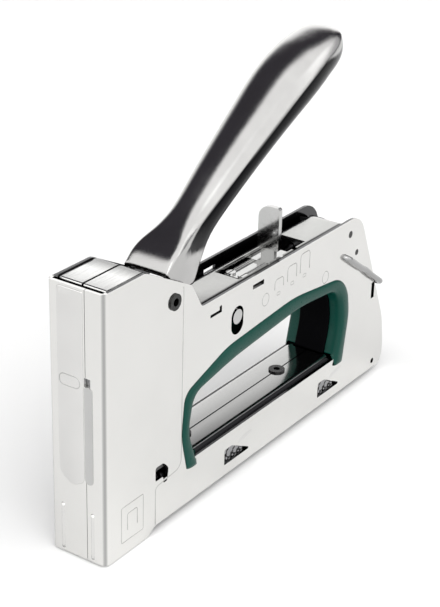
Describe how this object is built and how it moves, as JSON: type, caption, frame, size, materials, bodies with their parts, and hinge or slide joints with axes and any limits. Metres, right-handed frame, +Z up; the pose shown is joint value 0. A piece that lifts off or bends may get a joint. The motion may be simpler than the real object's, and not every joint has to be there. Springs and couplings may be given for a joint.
{
  "type": "staple gun",
  "caption": "Hand staple gun: folded steel casing with a finger opening, sprung lever handle, lock bail, force adjuster and a magazine that draws out at the rear.",
  "frame": {"origin": "centre of the footprint, at the level of the nose work face", "axes": "+X from the nose to the rear, +Y across the casing, +Z up towards the handle"},
  "size_m": [0.1924, 0.029, 0.1596],
  "materials": {
    "nickel_plate": "bright nickel-plated sheet steel",
    "satin_steel": "satin plated sheet steel",
    "handle_steel": "plated pressed steel with a fine grain",
    "polished_steel": "polished plated steel",
    "tool_steel": "ground hardened steel",
    "spring_steel": "oiled spring wire",
    "black_steel": "blackened rivet steel",
    "green_plastic": "semi-gloss moulded plastic",
    "black_rubber": "matt rubber",
    "black_plastic": "moulded plastic",
    "bronze": "sintered bronze"
  },
  "bodies": {
    "casing": {"casing_left": "nickel_plate", "casing_right": "nickel_plate", "nose_frame_left": "satin_steel", "nose_frame_right": "satin_steel", "nose_foot": "tool_steel", "driver_guide": "tool_steel", "bumper_plate": "tool_steel", "driver_bumper": "black_rubber", "spring_channel": "nickel_plate", "spring_anchor": "tool_steel", "main_spring": "spring_steel", "magazine_cover_left": "nickel_plate", "magazine_cover_right": "nickel_plate", "cover_rivets": "black_steel", "staple_housing": "tool_steel", "staple_rail": "tool_steel", "catch_spring": "spring_steel", "rear_spacers": "black_steel", "finger_liner": "green_plastic", "liner_insert": "black_rubber", "pivot_rivet": "black_steel", "rocker_axle": "tool_steel"},
    "handle": {"handle_shell": "handle_steel", "lever_fork": "tool_steel", "pivot_bush": "bronze", "lift_roller": "tool_steel", "roller_pin": "tool_steel", "handle_spring": "spring_steel"},
    "rocker": {"rocker_arm": "tool_steel", "slot_pin": "polished_steel"},
    "driver": {"driver_blade": "tool_steel", "driver_carrier": "tool_steel", "carrier_rivets": "tool_steel"},
    "adjuster": {"adjuster_flag": "polished_steel", "adjuster_saddle": "tool_steel"},
    "bail": {"lock_bail": "polished_steel"},
    "magazine_slide": {"guide_rod": "tool_steel", "rear_catch": "black_plastic", "pusher_spring": "spring_steel"},
    "pusher": {"pusher": "bronze"}
  },
  "joints": [
    {"name": "handle_hinge", "type": "hinge", "parent": "casing", "child": "handle", "pos_m": [-0.05735, 0, 0.0876], "axis": [0, 1, 0], "range_deg": [0, 31], "stiffness_Nm_per_rad": 1.6, "springref_deg": -28.65, "deforming": ["handle_spring", "main_spring"]},
    {"name": "rocker_hinge", "type": "hinge", "parent": "casing", "child": "rocker", "pos_m": [-0.0322, 0, 0.06529], "axis": [0, 1, 0], "range_deg": [0, 16.52]},
    {"name": "driver_slide", "type": "slide", "parent": "casing", "child": "driver", "axis": [0, 0, 1], "range_m": [0, 0.01551]},
    {"name": "adjuster_slide", "type": "slide", "parent": "casing", "child": "adjuster", "axis": [1, 0, 0], "range_m": [-0.009, 0.009]},
    {"name": "bail_hinge", "type": "hinge", "parent": "casing", "child": "bail", "pos_m": [0.05835, 0, 0.0646], "axis": [0, -1, 0], "range_deg": [0, 105]},
    {"name": "magazine_draw", "type": "slide", "parent": "casing", "child": "magazine_slide", "axis": [1, 0, 0], "range_m": [0, 0.12]},
    {"name": "pusher_slide", "type": "slide", "parent": "magazine_slide", "child": "pusher", "axis": [1, 0, 0], "range_m": [0, 0.11], "stiffness_N_per_m": 25, "springref_m": -0.08, "deforming": ["pusher_spring"]}
  ],
  "couplings": [
    {"joint": "rocker_hinge", "follows": "handle_hinge", "ratio": 0.53235},
    {"joint": "driver_slide", "follows": "handle_hinge", "m_per_rad": 0.028648}
  ]
}
